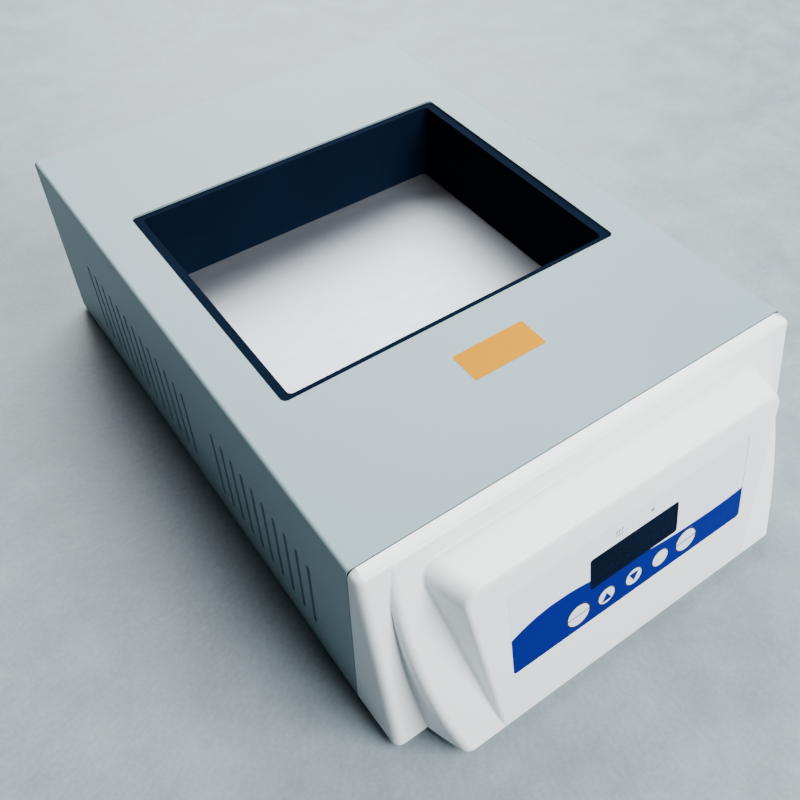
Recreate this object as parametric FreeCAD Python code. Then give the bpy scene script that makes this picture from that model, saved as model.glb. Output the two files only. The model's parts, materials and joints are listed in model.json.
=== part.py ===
import FreeCAD, Part

import math
import os

from FreeCAD import Placement, Rotation, Vector

# Dry bath incubator with a four block well, in millimetres.
# X runs to the operator's right, the control panel faces -Y and +Z is up.
# The origin lies on the bench, under the middle of the bounding box.

# Case
case_width = 250.0
case_length = 333.0
case_height = 112.0
foot_height = 3.0
sheet = 1.2
bend_radius = 2.0

# Clearances shared by many pieces
seam_gap = 0.6
sheet_gap = 0.3
seat_gap = 0.3
screw_gap = 0.1
head_gap = 0.4
overcut = 1.0

# Well, sized for four standard 76.2 x 95.3 mm heating blocks in two rows
well_from_seam = 170.0
well_width = 191.5
well_length = 155.5
rim_side = 5.25
rim_end = 3.75
cover_hole_radius = 3.0
well_depth = 50.0
well_corner_radius = 2.5
liner_wall = 1.8
liner_flange_reach = 7.0

# Side vents
slot_pitch = 10.16
slot_width = 2.8
slot_length = 50.8
slot_base_height = 18.5
front_slot_count = 10
rear_slot_count = 13
slot_roundness = 0.497
front_slots_from_seam = 35.3
slot_group_gap = 32.4

# Heating stack under the well floor
plate_thickness = 10.0
plate_margin = 4.0
plate_corner_radius = 2.0
mat_thickness = 1.6
mat_margin = 6.0
clamp_thickness = 2.0
insulation_thickness = 15.0
stack_corner_notch = 16.0
standoff_radius = 5.0
standoff_inset = 8.0
clamp_screw_radius = 1.5
clamp_screw_inset_side = 22.0
clamp_screw_inset_end = 9.0
plate_tap_depth = 7.0
plate_screw_bite = 5.0
standoff_screw_bite = 10.0
standoff_bore_depth = 12.0
stud_length = 5.5
tray_leg_inset = 6.0
tray_foot = 12.0
thermostat_radius = 8.0
thermostat_cup = 5.0
thermostat_body = 6.0
thermostat_step = 1.5
thermostat_gap = 1.0
tab_width = 6.3
tab_thickness = 0.8
tab_length = 8.0
tab_spacing = 7.2
probe_radius = 2.4
probe_length = 42.0
probe_clearance = 0.1
probe_x = 24.0
probe_stand_out = 4.0
sleeve_length = 7.0
sleeve_step = 0.8

# Front bezel: three nested wedges that share a chin and a top ridge
bezel_wall = 2.5
ridge_depth = 7.0
chin_tilt = 5.5
flank_tilt = 13.0
apron_tilt = 23.3
panel_tilt = 12.0
shelf_drop = 7.2
apron_step = 11.4
apron_bow_radius = 142.0
apron_bow_drop = 28.0
apron_bow_lean = 20.5
pod_step = 21.7
panel_taper = 0.308
panel_draft = 0.0642
ridge_radius = 2.5
flank_edge_radius = 4.2
apron_edge_radius = 4.5
pod_shoulder_radius = 9.0
pod_edge_radius = 3.0
pod_crease_radius = 1.5
crease_rise = 1.0
tongue_length = 5.0
tongue_wall = 1.6
boss_radius = 4.0
boss_from_wall = 6.0
boss_low = 22.0
boss_high = 20.0
post_radius = 3.5
boss_bore_radius = 1.25
boss_bore_depth = 9.0
post_bore_depth = 6.0

# Control panel, measured up the slanted face from its lower edge
overlay_side_step = 53.0
overlay_height = 53.7
overlay_base = 33.2
overlay_thickness = 0.5
overlay_recess = 0.6
overlay_corner_radius = 3.0
overlay_gap = 0.25
window_width = 53.0
window_height = 15.0
window_base = 57.0
window_thickness = 1.6
window_ledge = 1.5
window_ledge_radius = 0.8
window_corner_radius = 1.6
window_gap = 0.05
key_height = 43.3
key_pitch = 17.0
large_key_radius = 7.0
small_key_radius = 5.2
key_gap = 0.15
key_flange = 1.5
key_flange_thickness = 1.0
key_stem_radius = 2.0
key_travel = 0.5
key_face_sink = 0.1
key_chamfer = 0.35
board_thickness = 1.6
board_margin = 4.0
board_height = 60.0
board_corner_radius = 2.0
board_screw_bite = 4.0
board_behind_face = 11.0
board_screw_inset = 5.0
switch_body = 6.0
switch_body_height = 3.5
switch_button_radius = 1.75
switch_height = 5.0
switch_lead_gap = 0.1
digit_module_width = 50.3
digit_module_height = 19.0
digit_module_depth = 7.6
digit_module_rim = 1.0
digit_module_recess = 0.4
lamp_above_window = 7.5
lamp_spacing = 20.4
lamp_radius = 1.5
lamp_length = 7.0
lamp_collar = 0.4
lamp_collar_height = 1.0

# Base, feet and rear wall
pan_flange = 18.0
bulkhead_from_seam = 6.0
bulkhead_foot = 10.0
bulkhead_gap = 2.0
cable_hole_width = 44.0
cable_hole_height = 24.0
cable_hole_base = 30.0
cable_hole_radius = 4.0
rear_lip = 14.0
rear_screw_base = 12.0
panel_edge_gap = 0.6
thread_past = 4.0
foot_radius = 9.0
foot_tread = 1.2
foot_bevel = 0.4
foot_lead = 0.6
foot_seat = 0.5
foot_inset_side = 26.0
foot_inset_end = 30.0
screw_head_radius = 2.8
screw_head_height = 1.9
screw_radius = 1.45
recess_width = 0.8
recess_length = 2.8
recess_share = 0.45
head_crown = 0.8
bottom_slot_count = 9
bottom_slot_length = 40.0
bottom_slot_width = 3.0
bottom_slot_pitch = 8.0
bottom_slots_from_seam = 46.0

# Power inlet with a fuse drawer under its socket
inlet_from_side = 53.0
inlet_z = 62.0
inlet_flange_width = 50.0
inlet_flange_height = 38.0
inlet_flange_thickness = 2.4
inlet_corner_radius = 4.0
inlet_body_width = 30.0
inlet_body_height = 34.0
inlet_body_depth = 24.0
inlet_screw_spacing = 40.0
socket_width = 24.6
socket_height = 16.8
socket_depth = 16.0
socket_chamfer = 4.5
socket_raise = 6.6
blade_width = 2.0
blade_height = 4.0
blade_length = 13.5
blade_spacing = 14.0
blade_offset = 2.0
tail_length = 8.0
blade_chamfer = 0.5
drawer_width = 22.0
drawer_height = 8.0
drawer_depth = 22.5
drawer_drop = 10.9
drawer_front = 1.6
drawer_wall = 1.0
drawer_gap = 0.3
drawer_lip_side = 1.2
drawer_lip_end = 0.8
drawer_lip_gap = 0.02
drawer_neck = 0.4
drawer_back_gap = 0.5
grip_radius = 1.1
grip_length = 8.0
fuse_radius = 2.5
fuse_length = 20.0
fuse_cap = 5.0
fuse_step = 0.3
fuse_gap = 0.2

# Power switch
rocker_from_inlet = 50.0
switch_flange_width = 15.0
switch_flange_height = 21.0
switch_flange_thickness = 1.8
switch_corner_radius = 1.0
switch_shell_width = 13.0
switch_shell_height = 19.0
switch_shell_depth = 15.0
switch_shell_wall = 1.0
rocker_gap = 0.35
rocker_end_gap = 0.5
rocker_dish = 1.3
rocker_keel = 3.0
rocker_keel_rise = 1.5
rocker_shoulder = 0.5
pocket_past = 3.0
pivot_wall = 0.2
switch_tab_length = 8.0
switch_tab_width = 6.4
switch_tab_thickness = 0.8
switch_tab_low = -5.0
switch_tab_high = 3.0
rocker_tilt = 8.0
rocker_rise = 1.6
rocker_depth = 7.0
pivot_radius = 1.2
pivot_gap = 0.05
pivot_sink = 1.0

# Power electronics behind the well
power_board_side_step = 132.0
power_board_length = 56.0
power_board_x = 34.0
power_board_from_rear = 40.0
power_board_lift = 8.0
board_post_radius = 3.0
board_post_inset = 4.5
post_tap_gap = 0.25
post_screw_gap = 0.3
post_screw_bite = 6.0
core_width = 46.0
core_length = 40.0
core_height = 38.0
core_from_side = 61.0
core_from_rear = 44.0
core_screw_past = 1.5
coil_overhang = 7.0
coil_radius = 5.0
coil_leg_gap = 0.2
core_foot = 9.0
core_foot_length = 16.0
core_foot_thickness = 1.5
sink_width = 36.0
sink_height = 34.0
sink_base = 3.0
fin_count = 7
fin_depth = 12.0
fin_thickness = 1.2
sink_from_board_end = 30.0
sink_offset = 4.0
triac_width = 10.0
triac_height = 15.0
triac_thickness = 4.4
triac_lift = 6.0
lead_width = 0.8
lead_thickness = 0.6
lead_pitch = 2.54
lead_back = 2.0
terminal_ways = 5
terminal_pitch = 8.0
terminal_depth = 14.0
terminal_height = 15.0
terminal_bore_radius = 2.0
terminal_bore_depth = 8.0
terminal_bore_drop = 2.0
terminal_screw_depth = 4.0
terminal_end = 12.0
terminal_edge = 2.0
earth_from_side = 48.0
earth_from_seam = 60.0
earth_radius = 2.0
earth_height = 12.0
nut_width = 7.0
nut_height = 3.2

# Plain amber patch on the cover
patch_width = 42.0
patch_length = 17.8
patch_thickness = 0.15
patch_from_seam = 58.2
patch_x = -1.8
patch_radius = 0.8

# Heights and places that follow from the sizes above
case_bottom = foot_height
case_top = case_bottom + case_height
half_width = case_width / 2.0
cover_hole_width = well_width + 2.0 * rim_side
cover_hole_length = well_length + 2.0 * rim_end
pod_half_width = half_width - pod_step
overlay_width = case_width - 2.0 * overlay_side_step
board_width = overlay_width + 2.0 * board_margin
lamp_height = window_base + window_height + lamp_above_window
screw_hole_radius = screw_radius + screw_gap
inlet_x = half_width - inlet_from_side
rocker_x = inlet_x - rocker_from_inlet
power_board_width = case_width - power_board_side_step
core_x = core_from_side - half_width
earth_x = earth_from_side - half_width
chin_slope = math.tan(math.radians(chin_tilt))
flank_slope = math.tan(math.radians(flank_tilt))
apron_slope = math.tan(math.radians(apron_tilt))
bezel_depth = (ridge_depth + case_height * apron_slope) / (1.0 + chin_slope * apron_slope)
chin_rise = bezel_depth * chin_slope
rocker_half_height = switch_shell_height / 2.0 - switch_shell_wall - rocker_gap - rocker_end_gap
rocker_face = switch_flange_thickness + pivot_sink + rocker_rise
rocker_lean = math.radians(rocker_tilt)
rocker_reach = rocker_face * math.cos(rocker_lean) + rocker_half_height * math.sin(rocker_lean) - pivot_sink
rear_reach = sheet + max(inlet_flange_thickness + drawer_front, rocker_reach)
seam = (bezel_depth - case_length - rear_reach) / 2.0
rear = seam + case_length
rear_face = rear + sheet
well_y = seam + well_from_seam
floor_z = case_top - well_depth
pan_top = case_bottom + sheet
shelf_z = case_top - shelf_drop
inner_half = half_width - sheet
bulkhead = seam + bulkhead_from_seam
plate_bottom = floor_z - plate_thickness
mat_bottom = plate_bottom - mat_thickness
clamp_bottom = mat_bottom - clamp_thickness
insulation_bottom = clamp_bottom - insulation_thickness
plate_half_width = well_width / 2.0 + plate_margin
plate_half_length = well_length / 2.0 + plate_margin
mat_half_width = plate_half_width - mat_margin
mat_half_length = plate_half_length - mat_margin
standoff_x = plate_half_width - standoff_inset
standoff_y = plate_half_length - standoff_inset
foot_x = half_width - foot_inset_side
foot_front = seam + foot_inset_end
foot_back = rear - foot_inset_end
screw_x = half_width - rear_lip / 2.0
screw_low = case_bottom + rear_screw_base
screw_high = case_top - rear_lip / 2.0
inlet_y = rear_face
inlet_face = inlet_y + inlet_flange_thickness
socket_z = inlet_z + socket_raise
drawer_z = inlet_z - drawer_drop
board_z = pan_top + power_board_lift
board_top = board_z + board_thickness
board_y = rear - power_board_from_rear
core_y = rear - core_from_rear
panel_place = Placement(
    Vector(0.0, seam - bezel_depth, case_bottom + chin_rise),
    Rotation(Vector(1.0, 0.0, 0.0), 90.0 - panel_tilt),
)
side_axis = Vector(1.0, 0.0, 0.0)
depth_axis = Vector(0.0, 1.0, 0.0)
up_axis = Vector(0.0, 0.0, 1.0)


# Shapes used by several pieces


def block(x0, x1, y0, y1, z0, z1):
    return Part.makeBox(x1 - x0, y1 - y0, z1 - z0, Vector(x0, y0, z0))


def straight_edges(shape, axis):
    found = []
    for edge in shape.Edges:
        ends = edge.Vertexes
        if len(ends) != 2:
            continue
        run = ends[1].Point - ends[0].Point
        if run.Length > 1e-6 and abs(run.dot(axis)) > 0.9999 * run.Length:
            found.append(edge)
    return found


def upper_edges(solid):
    # The lengthwise edges in the upper half of a solid.
    middle = solid.BoundBox.Center.z
    return [e for e in straight_edges(solid, depth_axis) if e.CenterOfMass.z > middle]


def rounded_block(x0, x1, y0, y1, z0, z1, radius, axis=up_axis):
    solid = block(x0, x1, y0, y1, z0, z1)
    return solid.makeFillet(radius, straight_edges(solid, axis))


def rod(x, y, z, radius, length, axis=up_axis):
    return Part.makeCylinder(radius, length, Vector(x, y, z), axis)


def revolved(points, axis_point, axis=up_axis):
    outline = Part.makePolygon(points + [points[0]])
    return Part.Face(outline).revolve(axis_point, axis, 360.0)


def joined(shapes):
    solid = shapes[0]
    if len(shapes) > 1:
        solid = solid.fuse(shapes[1:])
    return solid.removeSplitter()


def without(shape, tools):
    for tool in tools:
        shape = shape.cut(tool)
    return shape


def corners(dx, dy):
    return [(-dx, -dy), (dx, -dy), (dx, dy), (-dx, dy)]


# A flat boundary is kept as its outward normal and its distance from the origin


def boundary(point, normal, inset=0.0):
    unit = Vector(normal)
    unit.normalize()
    return unit, unit.dot(point) - inset


def meeting_point(first, second, third):
    n1, d1 = first
    n2, d2 = second
    n3, d3 = third
    scale = n1.dot(n2.cross(n3))
    return (n2.cross(n3) * d1 + n3.cross(n1) * d2 + n1.cross(n2) * d3) * (1.0 / scale)


def wedge(sides):
    # Closes six boundaries into a solid: left, right, front, back, bottom, top.
    left, right, front, back, bottom, top = sides
    rings = [
        (left, [(front, bottom), (front, top), (back, top), (back, bottom)]),
        (right, [(front, bottom), (back, bottom), (back, top), (front, top)]),
        (front, [(left, bottom), (right, bottom), (right, top), (left, top)]),
        (back, [(left, bottom), (left, top), (right, top), (right, bottom)]),
        (bottom, [(left, front), (left, back), (right, back), (right, front)]),
        (top, [(left, front), (right, front), (right, back), (left, back)]),
    ]
    faces = []
    for side, pairs in rings:
        ring = [meeting_point(side, a, b) for a, b in pairs]
        faces.append(Part.Face(Part.makePolygon(ring + [ring[0]])))
    solid = Part.makeSolid(Part.makeShell(faces))
    if solid.Volume < 0.0:
        solid.reverse()
    return solid


def shared_edges(solid, first, second):
    found = []
    for edge in solid.Edges:
        middle = edge.valueAt((edge.FirstParameter + edge.LastParameter) / 2.0)
        points = [vertex.Point for vertex in edge.Vertexes] + [middle]
        gaps = [abs(side[0].dot(p) - side[1]) for side in (first, second) for p in points]
        if max(gaps) < 1e-4:
            found.append(edge)
    return found


# Sheet metal case


def slot_places():
    places = [seam + front_slots_from_seam + k * slot_pitch for k in range(front_slot_count)]
    first = places[-1] + slot_group_gap
    return places + [first + k * slot_pitch for k in range(rear_slot_count)]


def vent_cutter(y):
    # One slot through both side walls, with round ends.
    low = case_bottom + slot_base_height
    return rounded_block(
        -half_width - overcut, half_width + overcut, y - slot_width / 2.0, y + slot_width / 2.0,
        low, low + slot_length, slot_width * slot_roundness, side_axis,
    )


def cover_section(inset, floor, y0, y1):
    # A block with the two long top edges rounded to the bend.
    solid = block(-half_width + inset, half_width - inset, y0, y1, floor, case_top - inset)
    return solid.makeFillet(bend_radius - inset, upper_edges(solid))


def rear_screw_places():
    return [(-screw_x, screw_low), (screw_x, screw_low), (-screw_x, screw_high), (screw_x, screw_high)]


def case_cover():
    front = seam + seam_gap
    shell = cover_section(0.0, case_bottom, front, rear).cut(
        cover_section(sheet, case_bottom - overcut, front - overcut, rear + overcut))
    lip = cover_section(sheet / 2.0, case_bottom, rear - sheet, rear).cut(
        block(-half_width + rear_lip, half_width - rear_lip, rear - 2.0 * sheet, rear + sheet,
              case_bottom - overcut, case_top - rear_lip))
    shell = joined([shell, lip])
    hole = rounded_block(
        -cover_hole_width / 2.0, cover_hole_width / 2.0,
        well_y - cover_hole_length / 2.0, well_y + cover_hole_length / 2.0,
        case_top - 2.0 * sheet, case_top + sheet, cover_hole_radius,
    )
    screw_holes = [rod(x, rear - 2.0 * sheet, z, screw_radius, 4.0 * sheet, depth_axis)
                   for x, z in rear_screw_places()]
    return without(shell, [hole] + [vent_cutter(y) for y in slot_places()] + screw_holes)


def bottom_slots():
    cutters = []
    for row_y in (seam + bottom_slots_from_seam, board_y):
        for k in range(bottom_slot_count):
            x = power_board_x + (k - (bottom_slot_count - 1) / 2.0) * bottom_slot_pitch
            cutters.append(rounded_block(
                x - bottom_slot_width / 2.0, x + bottom_slot_width / 2.0,
                row_y - bottom_slot_length / 2.0, row_y + bottom_slot_length / 2.0,
                case_bottom - overcut, pan_top + overcut, bottom_slot_width * slot_roundness))
    return cutters


def foot_places():
    return [(x, y) for x in (-foot_x, foot_x) for y in (foot_front, foot_back)]


def standoff_places():
    return [(x, well_y + y) for x, y in corners(standoff_x, standoff_y)]


def board_post_places():
    return [(power_board_x + x, board_y + y)
            for x, y in corners(power_board_width / 2.0 - board_post_inset,
                                power_board_length / 2.0 - board_post_inset)]


def core_foot_places():
    reach = core_width / 2.0 + core_foot / 2.0
    return [(core_x - reach, core_y), (core_x + reach, core_y)]


def bezel_screw_places():
    x = half_width - bezel_wall - boss_radius - boss_from_wall
    low = case_bottom + boss_low
    high = case_top - boss_high
    return [(-x, low), (x, low), (-x, high), (x, high)]


def base_pan():
    side = inner_half - sheet_gap
    front = bulkhead + sheet
    back = rear - sheet - sheet_gap
    top = case_bottom + pan_flange
    floor = block(-side, side, seam + seam_gap, back, case_bottom, pan_top)
    walls = [
        block(-side, -side + sheet, front, back, case_bottom, top),
        block(side - sheet, side, front, back, case_bottom, top),
        block(-side, side, back - sheet, back, case_bottom, top),
    ]
    posts = [rod(x, y, pan_top, board_post_radius, power_board_lift) for x, y in board_post_places()]
    tray = joined([floor] + walls + posts)
    low = case_bottom - overcut
    holes = [rod(x, y, low, screw_hole_radius, sheet + 2.0 * overcut)
             for x, y in foot_places() + standoff_places() + core_foot_places()]
    holes += [rod(x, y, low, screw_radius - post_tap_gap, sheet + power_board_lift + 2.0 * overcut)
              for x, y in board_post_places()]
    holes += [rod(x, back - 2.0 * sheet, z, screw_radius, 3.0 * sheet, depth_axis)
              for x, z in rear_screw_places()]
    return without(tray, holes + bottom_slots())


def front_bulkhead():
    # An upright sheet with a turned foot on the pan; the bezel screws pass through it.
    side = inner_half - sheet_gap
    back = bulkhead + sheet
    wall = block(-side, side, bulkhead, back, pan_top, case_top - sheet - tongue_wall - bulkhead_gap)
    foot = block(-side + bulkhead_foot, side - bulkhead_foot, bulkhead, bulkhead + bulkhead_foot,
                 pan_top, pan_top + sheet)
    base = case_bottom + cable_hole_base
    cable_hole = rounded_block(
        -cable_hole_width / 2.0, cable_hole_width / 2.0, bulkhead - overcut, back + overcut,
        base, base + cable_hole_height, cable_hole_radius, depth_axis)
    holes = [rod(x, bulkhead - overcut, z, screw_hole_radius, sheet + 2.0 * overcut, depth_axis)
             for x, z in bezel_screw_places()]
    return without(joined([wall, foot]), [cable_hole] + holes)


def rear_panel():
    side = half_width - panel_edge_gap
    plate = block(-side, side, rear, rear_face, case_bottom + seat_gap, case_top - panel_edge_gap)
    plate = plate.makeFillet(bend_radius, upper_edges(plate))
    low = rear - overcut
    high = rear_face + overcut
    cuts = [rod(x, low, z, screw_hole_radius, high - low, depth_axis) for x, z in rear_screw_places()]
    cuts += [rod(x, low, inlet_z, screw_hole_radius, high - low, depth_axis) for x in inlet_screw_places()]
    for x, width, height in [(inlet_x, inlet_body_width, inlet_body_height),
                             (rocker_x, switch_shell_width, switch_shell_height)]:
        cuts.append(block(x - width / 2.0 - seat_gap, x + width / 2.0 + seat_gap, low, high,
                          inlet_z - height / 2.0 - seat_gap, inlet_z + height / 2.0 + seat_gap))
    return without(plate, cuts)


def inlet_screw_places():
    return [inlet_x - inlet_screw_spacing / 2.0, inlet_x + inlet_screw_spacing / 2.0]


# Screws with a low round head and a cross recess, pointing along an axis


def pan_screw(place, inward, length, radius=screw_radius):
    # place is the centre of the face that the head sits on.
    crown = screw_head_radius * head_crown
    head = Part.makeCylinder(screw_head_radius, screw_head_height * recess_share, Vector(), up_axis)
    dome = Part.makeCone(screw_head_radius, crown, screw_head_height * (1.0 - recess_share),
                         Vector(0.0, 0.0, screw_head_height * recess_share))
    shank = Part.makeCylinder(radius, length, Vector(0.0, 0.0, -length))
    half = recess_width / 2.0
    reach = recess_length / 2.0
    low = screw_head_height * recess_share
    high = screw_head_height + overcut
    cross = block(-half, half, -reach, reach, low, high).fuse(block(-reach, reach, -half, half, low, high))
    screw = joined([head, dome, shank]).cut(cross)
    screw.Placement = Placement(place, Rotation(up_axis, Vector(inward) * -1.0))
    return screw


def rear_screws():
    return [pan_screw(Vector(x, rear_face, z), Vector(0.0, -1.0, 0.0), 2.0 * sheet + thread_past,
                      screw_radius - seat_gap / 2.0) for x, z in rear_screw_places()]


def inlet_screws():
    length = inlet_flange_thickness + sheet + thread_past
    return [pan_screw(Vector(x, inlet_face, inlet_z), Vector(0.0, -1.0, 0.0), length)
            for x in inlet_screw_places()]


def foot_screws():
    head_face = case_bottom - foot_height + screw_head_height + foot_seat
    length = case_bottom - head_face + sheet + thread_past
    return [pan_screw(Vector(x, y, head_face), up_axis, length) for x, y in foot_places()]


def standoff_screws():
    length = sheet + standoff_screw_bite
    return [pan_screw(Vector(x, y, case_bottom), up_axis, length) for x, y in standoff_places()]


def bezel_screws():
    length = sheet + boss_bore_depth - overcut
    return [pan_screw(Vector(x, bulkhead + sheet, z), Vector(0.0, -1.0, 0.0), length, boss_bore_radius)
            for x, z in bezel_screw_places()]


def rubber_feet():
    feet = []
    seat = screw_head_height + foot_seat
    pocket = screw_head_radius + head_gap
    for x, y in foot_places():
        profile = [
            (screw_hole_radius, seat), (pocket, seat), (pocket, 0.0),
            (foot_radius - foot_tread, 0.0), (foot_radius - foot_bevel, foot_lead),
            (foot_radius, foot_height), (screw_hole_radius, foot_height),
        ]
        feet.append(revolved([Vector(x + r, y, z) for r, z in profile], Vector(x, y, 0.0)))
    return feet


# Front bezel: flank, apron and pod are three wedges fused into one moulding


def bezel_sides(half, taper, flare, front_point, front_tilt, top, inset, back):
    # The side walls lean in towards the front by the taper and widen downwards by the flare.
    seam_top = Vector(half, seam, case_top)
    left = boundary(Vector(-half, seam, case_top), Vector(-1.0, -taper, flare), inset)
    right = boundary(seam_top, Vector(1.0, -taper, flare), inset)
    tilt = math.radians(front_tilt)
    front = boundary(front_point, Vector(0.0, -math.cos(tilt), math.sin(tilt)), inset)
    rear_side = boundary(Vector(0.0, back, 0.0), depth_axis)
    bottom = boundary(Vector(0.0, seam, case_bottom), Vector(0.0, -chin_slope, -1.0), inset)
    return left, right, front, rear_side, bottom, boundary(Vector(0.0, 0.0, top), up_axis, inset)


def ridge_point():
    return Vector(0.0, seam - ridge_depth, case_top)


def chin_point():
    return Vector(0.0, seam - bezel_depth, case_bottom + chin_rise)


def flank(inset, back):
    sides = bezel_sides(half_width, 0.0, 0.0, ridge_point(), flank_tilt, case_top, inset, back)
    left, right, front, rear_side, bottom, top = sides
    solid = wedge(sides)
    rounded = shared_edges(solid, left, top) + shared_edges(solid, right, top)
    if inset > 0.0:
        return solid.makeFillet(flank_edge_radius - inset, rounded)
    rounded += shared_edges(solid, left, front) + shared_edges(solid, right, front)
    solid = solid.makeFillet(flank_edge_radius, rounded)
    return solid.makeFillet(ridge_radius, shared_edges(solid, front, top))


def apron_bow(side, inset):
    # A leaning cylinder whose skin forms the bowed side wall, widest a little below the ridge.
    lean = math.radians(apron_bow_lean)
    axis = Vector(0.0, math.sin(lean), -math.cos(lean))
    widest = Vector(side * (half_width - apron_step), seam - ridge_depth - apron_bow_drop * apron_slope,
                    case_top - apron_bow_drop)
    foot = widest - Vector(side * apron_bow_radius, 0.0, 0.0) - axis * case_length
    return Part.makeCylinder(apron_bow_radius - inset, 2.0 * case_length, foot, axis)


def apron(inset, back):
    sides = bezel_sides(half_width, 0.0, 0.0, ridge_point(), apron_tilt, case_top, inset, back)
    left, right, front, rear_side, bottom, top = sides
    solid = wedge(sides).common(apron_bow(-1.0, inset)).common(apron_bow(1.0, inset))
    if inset > 0.0:
        return solid
    bowed = [edge for edge in shared_edges(solid, front, front)
             if abs(edge.Vertexes[0].Z - edge.Vertexes[-1].Z) > ridge_depth]
    solid = solid.makeFillet(apron_edge_radius, bowed)
    return solid.makeFillet(ridge_radius, shared_edges(solid, front, top))


def pod(inset, back):
    sides = bezel_sides(pod_half_width, panel_taper, -panel_draft, chin_point(), panel_tilt, shelf_z,
                        inset, back)
    left, right, front, rear_side, bottom, top = sides
    solid = wedge(sides)
    shoulders = shared_edges(solid, left, top) + shared_edges(solid, right, top)
    solid = solid.makeFillet(pod_shoulder_radius - inset, shoulders)
    if inset > 0.0:
        return solid
    rim = []
    for edge in solid.Edges:
        middle = edge.valueAt((edge.FirstParameter + edge.LastParameter) / 2.0)
        points = [vertex.Point for vertex in edge.Vertexes] + [middle]
        on_front = [abs(front[0].dot(p) - front[1]) < 1e-3 for p in points]
        if all(on_front) and middle.z > case_bottom + chin_rise + 1.0:
            rim.append(edge)
    return solid.makeFillet(pod_edge_radius, rim)


def pod_creases(shape):
    # The edges around the pod's foot: there a face rises above the plane of its neighbour.
    found = []
    for edge in shape.Edges:
        middle = edge.valueAt((edge.FirstParameter + edge.LastParameter) / 2.0)
        faces = shape.ancestorsOfType(edge, Part.Face)
        if len(faces) == 2 and abs(middle.x) < pod_half_width:
            one, other = faces
            rises = [
                one.normalAt(*one.Surface.parameter(middle)).dot(other.CenterOfMass - middle),
                other.normalAt(*other.Surface.parameter(middle)).dot(one.CenterOfMass - middle),
            ]
            if max(rises) > crease_rise:
                found.append(edge)
    return found


def on_panel(shape):
    placed = shape.copy()
    placed.Placement = panel_place.multiply(placed.Placement)
    return placed


def key_list():
    names = ["key_set", "key_up", "key_down", "key_shift", "key_start"]
    radii = [large_key_radius, small_key_radius, small_key_radius, small_key_radius, large_key_radius]
    middle = (len(names) - 1) / 2.0
    return [(name, (k - middle) * key_pitch, radius) for k, (name, radius) in enumerate(zip(names, radii))]


def board_corner_places():
    u = board_width / 2.0 - board_screw_inset
    middle = overlay_base + overlay_height / 2.0
    v = board_height / 2.0 - board_screw_inset
    return [(x, middle + y) for x, y in corners(u, v)]


def panel_rect(width, base, height, low, high, radius):
    return rounded_block(-width / 2.0, width / 2.0, base, base + height, low, high, radius)


def bezel_tongue():
    # A thin collar that slips inside the cover.
    outer = inner_half - sheet_gap
    top = case_top - sheet - sheet_gap
    ring = block(-outer, outer, seam - bezel_wall, seam + tongue_length, case_bottom + tongue_wall, top)
    ring = ring.makeFillet(flank_edge_radius - sheet - sheet_gap, upper_edges(ring))
    core = block(-outer + tongue_wall, outer - tongue_wall, seam - 2.0 * bezel_wall,
                 seam + 2.0 * tongue_length, case_bottom, top - tongue_wall)
    return ring.cut(core)


def front_bezel():
    outside = flank(0.0, seam).fuse([apron(0.0, seam), pod(0.0, seam)]).removeSplitter()
    outside = outside.makeFillet(pod_crease_radius, pod_creases(outside))
    back = seam + overcut
    inside = flank(bezel_wall, back).fuse([apron(bezel_wall, back), pod(bezel_wall, back)])
    shell = outside.cut(inside.removeSplitter())
    solids = [shell, bezel_tongue()]
    cuts = []
    for x, z in bezel_screw_places():
        start = seam - ridge_depth - (case_top - z) * flank_slope + bezel_wall / 2.0
        solids.append(rod(x, start, z, boss_radius, bulkhead - start, depth_axis))
        cuts.append(rod(x, bulkhead - boss_bore_depth, z, boss_bore_radius, boss_bore_depth + overcut,
                        depth_axis))
    for u, v in board_corner_places():
        solids.append(on_panel(rod(u, v, -board_behind_face, post_radius,
                                   board_behind_face - bezel_wall / 2.0)))
        cuts.append(on_panel(rod(u, v, -board_behind_face - overcut, boss_bore_radius,
                                 post_bore_depth + overcut)))
    low = -2.0 * bezel_wall
    high = 2.0 * bezel_wall
    cuts.append(on_panel(panel_rect(overlay_width + 2.0 * overlay_gap, overlay_base - overlay_gap,
                                    overlay_height + 2.0 * overlay_gap, -overlay_recess, high,
                                    overlay_corner_radius)))
    cuts.append(on_panel(panel_rect(window_width - 2.0 * window_ledge, window_base + window_ledge,
                                    window_height - 2.0 * window_ledge, low, high, window_ledge_radius)))
    cuts.append(on_panel(panel_rect(window_width, window_base, window_height, -window_thickness, high,
                                    window_corner_radius)))
    cuts += [on_panel(rod(u, key_height, low, radius + key_gap, high - low))
             for name, u, radius in key_list()]
    return without(joined(solids), cuts)


def control_overlay():
    film = panel_rect(overlay_width, overlay_base, overlay_height, -overlay_recess,
                      overlay_thickness - overlay_recess, overlay_corner_radius)
    cuts = [panel_rect(window_width, window_base, window_height, -overcut, overcut, window_corner_radius)]
    cuts += [rod(u, key_height, -overcut, radius + key_gap, 2.0 * overcut)
             for name, u, radius in key_list()]
    return on_panel(without(film, cuts))


def display_window():
    return on_panel(panel_rect(window_width - 2.0 * window_gap, window_base + window_gap,
                               window_height - 2.0 * window_gap, -window_thickness, -key_face_sink,
                               window_corner_radius - window_gap))


def key_cap(u, radius):
    # A round button with a chamfered rim, a keeper flange behind the wall and a stem.
    keeper_base = -bezel_wall - seat_gap - key_flange_thickness
    cap = rod(u, key_height, keeper_base, radius, -key_face_sink - keeper_base)
    rim = [e for e in cap.Edges if abs(e.CenterOfMass.z + key_face_sink) < 1e-4]
    cap = cap.makeChamfer(key_chamfer, rim)
    keeper = rod(u, key_height, keeper_base, radius + key_flange, key_flange_thickness)
    stem_end = -board_behind_face + switch_height + key_travel + switch_lead_gap
    stem = rod(u, key_height, stem_end, key_stem_radius, keeper_base - stem_end)
    return on_panel(joined([cap, keeper, stem]))


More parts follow.
